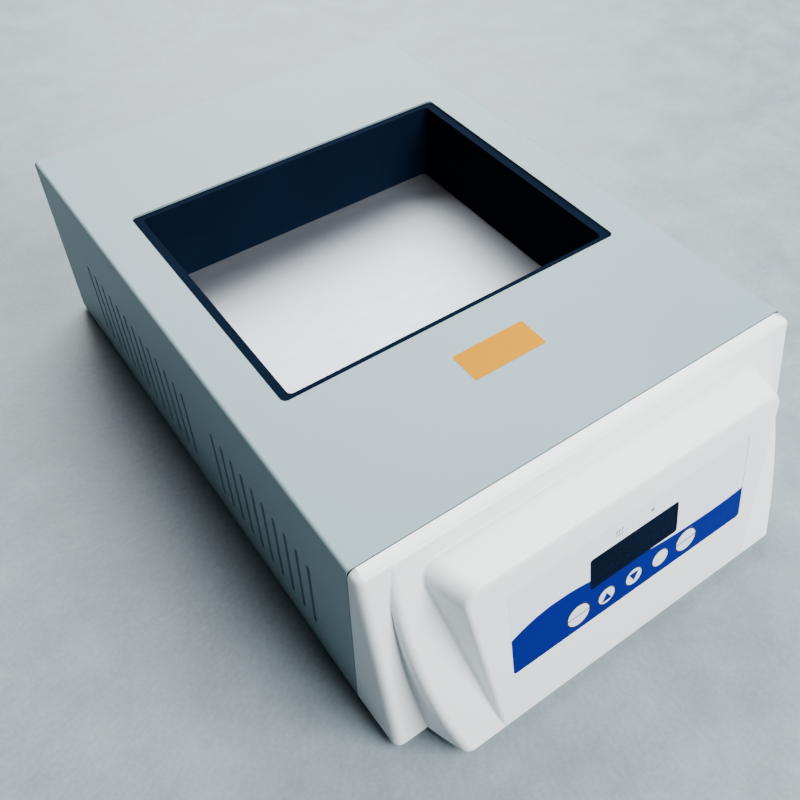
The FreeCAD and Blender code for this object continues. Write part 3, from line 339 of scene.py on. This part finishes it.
def bandedFinish(name, toneA, toneB, rough, axis, perMetre, metal=0.0):
    # laminations and tape turns
    finish, tree, shader, spot = startFinish(name, rough, metal)
    wave = tree.nodes.new("ShaderNodeTexWave")
    wave.bands_direction = "XYZ"[axis]
    wave.inputs["Scale"].default_value = perMetre / 6.283 * 2
    wave.inputs["Distortion"].default_value = 0.4
    wave.inputs["Detail"].default_value = 1.5
    tree.links.new(spot, wave.inputs["Vector"])
    colour = tones(tree, wave.outputs["Fac"], [(0.25, toneA), (0.75, toneB)])
    tree.links.new(colour, shader.inputs["Base Color"])
    raised(tree, shader, wave.outputs["Fac"], 0.3, 0.0001)
    return finish


def boardFinish(name, tone, metalTone):
    # solder mask with copper lands showing through
    finish, tree, shader, spot = startFinish(name, 0.35)
    bricks = tree.nodes.new("ShaderNodeTexVoronoi")
    bricks.distance = "MANHATTAN"
    bricks.inputs["Scale"].default_value = 210
    tree.links.new(spot, bricks.inputs["Vector"])
    colour = tones(tree, bricks.outputs["Distance"],
                   [(0.04, metalTone), (0.07, shade(tone, 1.5)), (0.4, tone), (0.8, shade(tone, 0.8))])
    tree.links.new(colour, shader.inputs["Base Color"])
    raised(tree, shader, bricks.outputs["Distance"], 0.15, 0.0001)
    return finish


def benchFinish(name, tone, rough):
    # mottled laminate: clouds, flecks and a faint sheen
    finish, tree, shader, spot = startFinish(name, rough)
    clouds = grain(tree, spot, 26, 5, 0.65)
    flecks = grain(tree, spot, 420, 3, 0.7)
    both = tree.nodes.new("ShaderNodeMix")
    both.inputs["Factor"].default_value = 0.4
    tree.links.new(clouds, both.inputs["A"])
    tree.links.new(flecks, both.inputs["B"])
    stops = [(0.34, shade(tone, 0.8)), (0.5, tone), (0.66, shade(tone, 1.22))]
    colour = tones(tree, both.outputs["Result"], stops)
    tree.links.new(colour, shader.inputs["Base Color"])
    tree.links.new(spread(tree, clouds, rough - 0.08, rough + 0.08), shader.inputs["Roughness"])
    raised(tree, shader, flecks, 0.3, 0.0001)
    return finish


def feltFinish(name, tone):
    finish, tree, shader, spot = startFinish(name, 0.95)
    matted = grain(tree, stretched(tree, spot, (300, 300, 900)), 1.0, 6.0, 0.7)
    colour = tones(tree, matted, [(0.3, shade(tone, 0.8)), (0.7, shade(tone, 1.08))])
    tree.links.new(colour, shader.inputs["Base Color"])
    raised(tree, shader, matted, 0.8, 0.0006)
    return finish


finishes = {
    "casePaint": texturedFinish("casePaint", (0.225, 0.325, 0.355), 0.5, 1500, 0.00003, 0.015, 0.3),
    "bezelPlastic": texturedFinish("bezelPlastic", (0.92, 0.97, 0.98), 0.32, 2200, 0.00002, 0.012),
    "overlayFilm": texturedFinish("overlayFilm", (0.82, 0.89, 0.95), 0.45, 2600, 0.00001, 0.01, 0.3),
    "blueInk": texturedFinish("blueInk", (0.0, 0.006, 0.16), 0.5, 2600, 0.00001, 0.06, 0.04),
    "darkInk": texturedFinish("darkInk", (0.004, 0.01, 0.04), 0.5, 2600, 0.00001, 0.05, 0.1),
    "keyPlastic": texturedFinish("keyPlastic", (0.78, 0.84, 0.88), 0.4, 2400, 0.00001, 0.012),
    "darkWindow": texturedFinish("darkWindow", (0.0004, 0.004, 0.015), 0.3, 900, 0.000002, 0.2, 0.01),
    "linerBlack": texturedFinish("linerBlack", (0.002, 0.006, 0.016), 0.7, 1300, 0.00003, 0.15, 0.01),
    "plateMetal": brushedFinish("plateMetal", (0.43, 0.47, 0.51), 0.55, 0, 2600, 0.03),
    # zinc tone darkened below real zinc: painted shade for the case interior seen through the vent slots
    "zincSheetPaintedShade": brushedFinish("zincSheetPaintedShade", (0.28, 0.29, 0.30), 0.42, 1, 1800, 0.08),
    "screwSteel": brushedFinish("screwSteel", (0.62, 0.62, 0.63), 0.3, 2, 3000, 0.06),
    "footRubber": texturedFinish("footRubber", (0.02, 0.02, 0.02), 0.75, 1700, 0.00006, 0.15),
    "blackPlastic": texturedFinish("blackPlastic", (0.016, 0.016, 0.017), 0.42, 1900, 0.00003, 0.12),
    "rockerPlastic": texturedFinish("rockerPlastic", (0.02, 0.02, 0.022), 0.25, 1500, 0.00001, 0.1),
    "patchVinyl": texturedFinish("patchVinyl", (0.52, 0.215, 0.0), 0.6, 2100, 0.00001, 0.03, 0.0),
    "heaterSilicone": texturedFinish("heaterSilicone", (0.42, 0.09, 0.03), 0.7, 900, 0.0001, 0.1),
    "insulationFelt": feltFinish("insulationFelt", (0.78, 0.75, 0.66)),
    "boardLaminate": boardFinish("boardLaminate", (0.015, 0.12, 0.045), (0.62, 0.46, 0.2)),
    "terminalPlastic": texturedFinish("terminalPlastic", (0.03, 0.2, 0.06), 0.45, 1800, 0.00003, 0.08),
    "coreSteel": bandedFinish("coreSteel", (0.10, 0.10, 0.11), (0.22, 0.22, 0.23), 0.45, 2, 1600, 0.9),
    "coilTape": bandedFinish("coilTape", (0.62, 0.42, 0.05), (0.74, 0.54, 0.10), 0.4, 2, 180),
    "sinkMetal": brushedFinish("sinkMetal", (0.03, 0.03, 0.033), 0.4, 2, 2200, 0.15),
    "earthBrass": brushedFinish("earthBrass", (0.72, 0.50, 0.18), 0.28, 2, 2800, 0.06),
    "bladeNickel": brushedFinish("bladeNickel", (0.72, 0.70, 0.66), 0.25, 1, 2800, 0.06),
    "fusePlate": brushedFinish("fusePlate", (0.75, 0.70, 0.55), 0.25, 1, 2800, 0.06),
    "lampRed": texturedFinish("lampRed", (0.45, 0.02, 0.015), 0.2, 1200, 0.00001, 0.08),
    "probeSteel": brushedFinish("probeSteel", (0.66, 0.66, 0.67), 0.25, 1, 2800, 0.05),
}
print("finishes ready,", len(finishes))


# cover: one sheet folded over the top and both sides

cover = {"sheet": 1.2, "bend": 2.0, "lip": 14.0, "seamGap": 0.6, "holeWide": 202.0, "holeLong": 163.0,
         "holeRound": 3.0, "slotPitch": 10.16, "slotWide": 2.8, "slotTall": 50.8, "slotBase": 18.5,
         "slotsFront": 10, "slotsRear": 13, "slotsStart": 35.3, "slotsApart": 32.4,
         "slotRound": 0.995, "edge": 0.12}
# dark strip in the seam gap, painted shade standing in for the seam's shadow
seamShade = {"outer": 0.35, "inner": 1.15, "lift": 1.0, "gap": 0.03}
past = 10 * mm  # how far a cutter reaches beyond its work


def arch(name, inset, floor, front, back):
    piece = block(name, (-halfWidth + inset, front, floor), (halfWidth - inset, back, caseTop - inset))
    return roundEdges(piece, lambda a, b: along(1)(a, b) and a.z > caseTop - inset - 0.001,
                      cover["bend"] * mm - inset, 6)


def buildCover():
    sheet = cover["sheet"] * mm
    front = seamY + cover["seamGap"] * mm
    back = rearY - sheet
    shell = arch("coverShape", 0.0, caseBottom, front, back)
    combine(shell, arch("hollow", sheet, caseBottom - past, front - past, back + past))
    lip = arch("lip", sheet / 2, caseBottom, back - sheet, back)
    lipIn = cover["lip"] * mm
    combine(lip, block("lipHole", (-halfWidth + lipIn, back - past, caseBottom - past),
                       (halfWidth - lipIn, back + past, caseTop - lipIn)))
    combine(shell, lip, "UNION")
    wide, long = cover["holeWide"] * mm / 2, cover["holeLong"] * mm / 2
    hole = block("hole", (-wide, wellMiddleY - long, caseTop - 4 * mm),
                 (wide, wellMiddleY + long, caseTop + 4 * mm))
    roundEdges(hole, along(2), cover["holeRound"] * mm, 5)
    combine(shell, hole)
    half = cover["slotWide"] * mm / 2
    low = caseBottom + cover["slotBase"] * mm
    start = seamY + cover["slotsStart"] * mm
    pitch = cover["slotPitch"] * mm
    second = start + (cover["slotsFront"] - 1) * pitch + cover["slotsApart"] * mm
    for first, count in ((start, cover["slotsFront"]), (second, cover["slotsRear"])):
        slot = block("slot", (-halfWidth - past, first - half, low),
                     (halfWidth + past, first + half, low + cover["slotTall"] * mm))
        roundEdges(slot, along(0), half * cover["slotRound"], 5)
        combine(shell, repeatAlong(slot, (0, pitch, 0), count))
    easeEdges(shell, cover["edge"] * mm, 2)
    smoothOff(shell)
    return seat(shell, "housing", finishes["casePaint"], "case_paint", "case_cover")


def buildSeamShade():
    # a dark strip in the seam gap: painted shade for the shadowed seam between cover and bezel
    front = seamY + seamShade["gap"] * mm
    back = seamY + (cover["seamGap"] - seamShade["gap"]) * mm
    piece = arch("seamShadeStrip", seamShade["outer"] * mm, caseBottom + seamShade["lift"] * mm, front, back)
    combine(piece, arch("seamShadeHole", seamShade["inner"] * mm, caseBottom - past, front - past, back + past))
    smoothOff(piece)
    return seat(piece, "housing", finishes["footRubber"], "foot_rubber")


buildCover()
buildSeamShade()
print("cover built")

# front: moulded bezel with its panel, in millimetres up the slanted face

film = {"base": 33.2, "side": 72.0, "skin": -0.1, "ink": 0.04}
skin = film["skin"] * mm
ink = film["ink"] * mm
dressNode("front_bezel", finishes["bezelPlastic"], "bezel_plastic", 0.0, 28)


def printed(piece, finish="darkInk", body="housing"):
    # laid flat on the slanted panel
    return seat(lean(piece), body, finishes[finish], "overlay_film")


def thicken(piece):
    thick = piece.modifiers.new("thick", "SOLIDIFY")
    thick.thickness = ink
    thick.offset = 1.0
    return applyAll(piece)


window = {"wide": 53.0, "tall": 15.0, "base": 57.0, "round": 1.5, "gap": 0.06, "top": -0.12, "bottom": -1.6,
          "ease": 0.05}


def buildWindow():
    wide = (window["wide"] / 2 - window["gap"]) * mm
    low = (window["base"] + window["gap"]) * mm
    high = (window["base"] + window["tall"] - window["gap"]) * mm
    pane = block("windowPane", (-wide, low, window["bottom"] * mm), (wide, high, window["top"] * mm))
    roundEdges(pane, along(2), window["round"] * mm, 5)
    easeEdges(pane, window["ease"] * mm, 2)
    smoothOff(pane)
    return seat(lean(pane), "housing", finishes["darkWindow"], "dark_window", "display_window")


tint = {"left": -27.0, "right": 26.9, "base": 54.5, "top": 74.1, "round": 1.5, "lap": 0.6, "gap": 0.02}


def tintBlock(name, grow, low, high):
    piece = block(name, (tint["left"] * mm - grow, tint["base"] * mm - grow, low),
                  (tint["right"] * mm + grow, tint["top"] * mm + grow, high))
    return roundEdges(piece, along(2), tint["round"] * mm, 5)


def buildTint():
    # dark print that frames the window
    piece = tintBlock("windowTint", 0.0, skin, skin + ink)
    lap = tint["lap"] * mm
    wide = window["wide"] * mm / 2 - lap
    low = window["base"] * mm + lap
    high = (window["base"] + window["tall"]) * mm - lap
    opening = block("tintOpening", (-wide, low, skin - mm), (wide, high, skin + mm))
    combine(piece, roundEdges(opening, along(2), window["round"] * mm, 5))
    return printed(piece, "darkWindow")


marks = {"heatAt": -9.95, "heatPitch": 1.6, "heatMiddle": 80.85, "waves": 3, "waveWide": 0.5, "waveTall": 2.3,
         "waveSwing": 0.28, "lineAt": 78.6, "lineWide": 4.5, "lineTall": 0.4, "lampAt": (10.05, 80.25),
         "dotRadius": 0.6, "rays": 8, "rayMiddle": 1.12, "rayWide": 0.28, "rayTall": 0.55}


def inkStrip(name, u, v, wide, tall, swing=0.0):
    # one printed stroke, straight or wavy
    clearPick()
    bpy.ops.mesh.primitive_grid_add(x_subdivisions=1, y_subdivisions=16, size=1, location=(u * mm, v * mm, 0))
    strip = nameIt(name)
    strip.scale = (wide * mm, tall * mm, 1)
    settle(strip)
    for vertex in strip.data.vertices:
        vertex.co.x += swing * mm * math.sin((vertex.co.y / mm - v) / tall * 2 * math.pi)
        vertex.co.z = skin
    return thicken(strip)


def buildMarks():
    # heat waves over a line, and a small lit lamp, above the window
    for k in range(marks["waves"]):
        u = marks["heatAt"] + (k - 1) * marks["heatPitch"]
        printed(inkStrip("heatWave" + str(k), u, marks["heatMiddle"], marks["waveWide"], marks["waveTall"],
                         marks["waveSwing"]))
    printed(inkStrip("heatLine", marks["heatAt"], marks["lineAt"], marks["lineWide"], marks["lineTall"]))
    u, v = marks["lampAt"]
    printed(disc("lampMark", (u * mm, v * mm, skin + ink / 2), marks["dotRadius"] * mm, ink, 24))
    for k in range(marks["rays"]):
        ray = inkStrip("lampRay" + str(k), 0.0, marks["rayMiddle"], marks["rayWide"], marks["rayTall"])
        turn = Matrix.Rotation(k * 2 * math.pi / marks["rays"], 4, "Z")
        ray.matrix_world = Matrix.Translation((u * mm, v * mm, 0)) @ turn
        printed(settle(ray))


keys = {"height": 43.3, "pitch": 17.0, "large": 7.0, "small": 5.2, "gap": 0.15, "deep": 2.4, "edge": 0.3,
        "edgeRise": 0.05, "crownStep": 0.3, "crownRise": 0.05, "crownTip": 0.02, "rimLarge": 0.6,
        "rimSmall": 0.3, "rimOver": 0.05, "rimRise": 0.14, "markRise": 0.18, "lineLow": -0.35,
        "lineHigh": 0.13, "lineShort": 0.65, "arrow": 3.5, "arrowUp": -1.5, "arrowDown": 0.9, "arrowThick": 0.12,
        "arrowSunk": 0.03, "arrowRound": 0.18}


def keyPlaces():
    large, small = keys["large"], keys["small"]
    order = [("set", large), ("up", small), ("down", small), ("shift", small), ("start", large)]
    return [(name, (k - 2) * keys["pitch"] * mm, radius) for k, (name, radius) in enumerate(order)]


def buildCap(name, u, radius):
    # a low cap: soft rim, shallow crown
    deep = keys["deep"] * mm
    cap = disc(name + "Cap", (u, keys["height"] * mm, skin - deep / 2), radius * mm, deep, 64)
    pickFaces(cap, lambda c, n: n.z > 0.9)
    bpy.ops.mesh.inset(thickness=keys["edge"] * mm, depth=keys["edgeRise"] * mm)
    bpy.ops.mesh.inset(thickness=radius * mm * keys["crownStep"], depth=keys["crownRise"] * mm)
    bpy.ops.mesh.inset(thickness=radius * mm * keys["crownStep"], depth=keys["crownTip"] * mm)
    leaveEdit()
    smoothOff(cap, 40)
    return lean(cap)


def buildRim(name, u, radius):
    inner = radius - (keys["rimLarge"] if radius == keys["large"] else keys["rimSmall"])
    rise = keys["rimRise"] * mm
    middle = (u, keys["height"] * mm, skin + rise / 2)
    rim = disc(name + "Rim", middle, (radius + keys["rimOver"]) * mm, rise, 64)
    return combine(rim, disc("ringHole", middle, inner * mm, mm, 64))


def buildDivider(name, u, radius):
    y = keys["height"] * mm
    half = (radius - keys["lineShort"]) * mm
    return block(name + "Divider", (u - half, y + keys["lineLow"] * mm, skin),
                 (u + half, y + keys["lineHigh"] * mm, skin + keys["markRise"] * mm))


def buildArrow(name, u):
    shift, turn = (keys["arrowUp"], 0.0) if name == "up" else (keys["arrowDown"], -math.pi)
    clearPick()
    bpy.ops.mesh.primitive_cylinder_add(
        vertices=3, radius=keys["arrow"] * mm, depth=keys["arrowThick"] * mm, rotation=(0, 0, turn),
        location=(u, (keys["height"] + shift) * mm, skin + (keys["markRise"] - keys["arrowSunk"]) * mm))
    arrow = settle(nameIt(name + "Arrow"))
    return easeEdges(arrow, keys["arrowRound"] * mm, 2, 60)


def buildKeys():
    for name, u, radius in keyPlaces():
        body = name + "_key"
        seat(buildCap(name, u, radius), body, finishes["keyPlastic"], "key_plastic", "key_" + name)
        printed(buildRim(name, u, radius), "darkInk", body)
        if radius == keys["large"]:
            printed(buildDivider(name, u, radius), "darkInk", body)
        elif name in ("up", "down"):
            printed(buildArrow(name, u), "blueInk", body)


band = {"top": [(-72.0, 57.0), (-67.8, 58.9), (-63.0, 60.5), (-57.6, 61.9), (-50.0, 62.9), (-44.0, 62.9),
                (-38.7, 62.7), (-33.0, 62.0), (-26.7, 60.8), (-16.0, 58.3), (-5.0, 56.1), (6.3, 54.8),
                (12.0, 54.1), (20.0, 53.05), (31.0, 52.2), (42.0, 51.85), (50.0, 51.65), (60.0, 51.9),
                (68.0, 52.4), (72.0, 53.0)],
        "steps": 72, "inset": 0.1, "corner": 1.9}


def bandCurve(x):
    points = band["top"]
    for (x0, y0), (x1, y1) in zip(points, points[1:]):
        if x <= x1:
            return y0 + (y1 - y0) * max(0.0, (x - x0) / (x1 - x0))
    return points[-1][1]


def buildBand():
    # ink film: a grid whose upper row follows the curve
    side = film["side"] * mm
    base = film["base"] * mm
    inset = band["inset"] * mm
    clearPick()
    bpy.ops.mesh.primitive_grid_add(x_subdivisions=band["steps"], y_subdivisions=1, size=1)
    piece = nameIt("bandInk")
    piece.scale = (2 * (side - inset), 1, 1)
    settle(piece)
    for vertex in piece.data.vertices:
        top = bandCurve(vertex.co.x / mm) * mm
        vertex.co.y = top if vertex.co.y > 0 else base + inset
        vertex.co.z = skin
    makeActive(piece)
    bpy.ops.object.mode_set(mode="EDIT")
    bpy.ops.mesh.select_mode(type="VERT")
    bpy.ops.mesh.select_all(action="DESELECT")
    leaveEdit()
    for vertex in piece.data.vertices:
        vertex.select = abs(vertex.co.x) > side - 5 * inset and vertex.co.y < base + mm
    bpy.ops.object.mode_set(mode="EDIT")
    bpy.ops.mesh.bevel(offset=band["corner"] * mm, segments=5, affect="VERTICES")
    leaveEdit()
    thicken(piece)
    combine(piece, tintBlock("tintHole", tint["gap"] * mm, skin - mm, skin + mm))
    for name, u, radius in keyPlaces():
        combine(piece, disc("keyHole", (u, keys["height"] * mm, skin), (radius + keys["gap"]) * mm, mm, 64))
    return printed(piece, "blueInk")


buildBand()
buildTint()
buildMarks()
buildKeys()
buildWindow()
print("front built")

# well, rear wall, feet and fasteners
dressNode("well_liner", finishes["linerBlack"], "liner_black", 0.25 * mm)
dressNode("rear_panel", finishes["casePaint"], "case_paint", 0.2 * mm)
dressNode("rubber_feet", finishes["footRubber"], "foot_rubber", 0.15 * mm)
dressNode("amber_patch", finishes["patchVinyl"], "patch_vinyl")
dressNode("control_overlay", finishes["overlayFilm"], "overlay_film")
dressNode("power_inlet", finishes["blackPlastic"], "black_plastic", 0.3 * mm)
dressNode("fuse_drawer", finishes["blackPlastic"], "black_plastic", 0.15 * mm)
dressNode("switch_shell", finishes["blackPlastic"], "black_plastic", 0.2 * mm)
dressNode("switch_rocker", finishes["rockerPlastic"], "rocker_plastic", 0.3 * mm)
dressNode("inlet_blades", finishes["bladeNickel"], "blade_metal", 0.1 * mm)
for screws in ("rear_screws", "inlet_screws", "foot_screws"):
    dressNode(screws, finishes["screwSteel"], "screw_steel")
print("rear wall and fasteners built")

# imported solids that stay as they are
kept = {
    # the zinc parts carry the darkened zinc finish, painted shade for the inside of the case
    "base_pan": "zincSheetPaintedShade", "front_bulkhead": "zincSheetPaintedShade", "insulation_tray": "zincSheetPaintedShade",
    "bezel_screws": "screwSteel", "board_screws": "screwSteel", "clamp_screws": "screwSteel",
    "standoff_screws": "screwSteel", "power_board_screws": "screwSteel", "core_screws": "screwSteel",
    "plate_standoffs": "screwSteel", "control_board": "boardLaminate", "power_board": "boardLaminate",
    "key_switches": "blackPlastic", "digit_module": "blackPlastic", "indicator_lamps": "lampRed",
    "heating_plate": "plateMetal", "heater_mat": "heaterSilicone", "clamp_plate": "plateMetal",
    "insulation_pad": "insulationFelt", "temperature_probe": "probeSteel", "safety_thermostat": "probeSteel",
    "fuses": "fusePlate", "heat_sink": "sinkMetal", "triac": "blackPlastic",
    "terminal_block": "terminalPlastic",
    "transformer_core": "coreSteel", "transformer_coil": "coilTape", "earth_stud": "earthBrass",
}
for node, finish in kept.items():
    nodes[node].data.materials.clear()
    nodes[node].data.materials.append(finishes[finish])
print("kept solids finished")

# bench, light and camera
stage = {"floorTone": (0.22, 0.275, 0.30), "floorRough": 0.5,
         "skyTone": (0.72, 0.86, 1.0), "skyPower": 0.06,
         "panels": [("backPanel", (0.55, 1.0, 1.0), (0.1, 0.35, 0.0), 1.2, 60.0),
                    ("keyPanel", (0.4, -0.95, 1.1), (0.1, -0.05, 0.05), 0.9, 51.0)]}


def buildStage():
    clearPick()
    bpy.ops.mesh.primitive_plane_add(size=6, location=(0, 0, 0))
    floor = nameIt("benchTop")
    floor.data.materials.append(benchFinish("benchPaper", stage["floorTone"], stage["floorRough"]))
    world = bpy.data.worlds.new("softRoom")
    bpy.context.scene.world = world
    world.use_nodes = True
    sky = world.node_tree.nodes["Background"]
    sky.inputs["Color"].default_value = (*stage["skyTone"], 1)
    sky.inputs["Strength"].default_value = stage["skyPower"]
    for name, spot, aim, size, power in stage["panels"]:
        bpy.ops.object.light_add(type="AREA", location=spot)
        lamp = bpy.context.object
        lamp.name = name
        lamp.data.shape = "SQUARE"
        lamp.data.size = size
        lamp.data.energy = power
        lamp.rotation_euler = (Vector(aim) - Vector(spot)).to_track_quat("-Z", "Y").to_euler()


view = {"lens": 41.414, "shift": (0.01576, -0.01286),
        "right": (0.820685, -0.571205, -0.014164), "up": (0.434365, 0.607589, 0.664953),
        "back": (-0.371219, -0.551869, 0.74675),
        "place": (-0.212379, -0.160477, 0.421253)}  # metres from the seam and the case's underside


def buildCamera():
    data = bpy.data.cameras.new("photoView")
    camera = bpy.data.objects.new("photoView", data)
    bpy.context.scene.collection.objects.link(camera)
    data.sensor_width = 36
    data.lens = view["lens"]
    data.shift_x, data.shift_y = view["shift"]
    data.clip_start = 0.01
    right, up, back = view["right"], view["up"], view["back"]
    place = Vector(view["place"]) + Vector((0, seamY, caseBottom))
    camera.matrix_world = Matrix([[right[k], up[k], back[k], place[k]] for k in range(3)] + [[0, 0, 0, 1]])
    bpy.context.scene.camera = camera


buildStage()
buildCamera()
print("stage built")
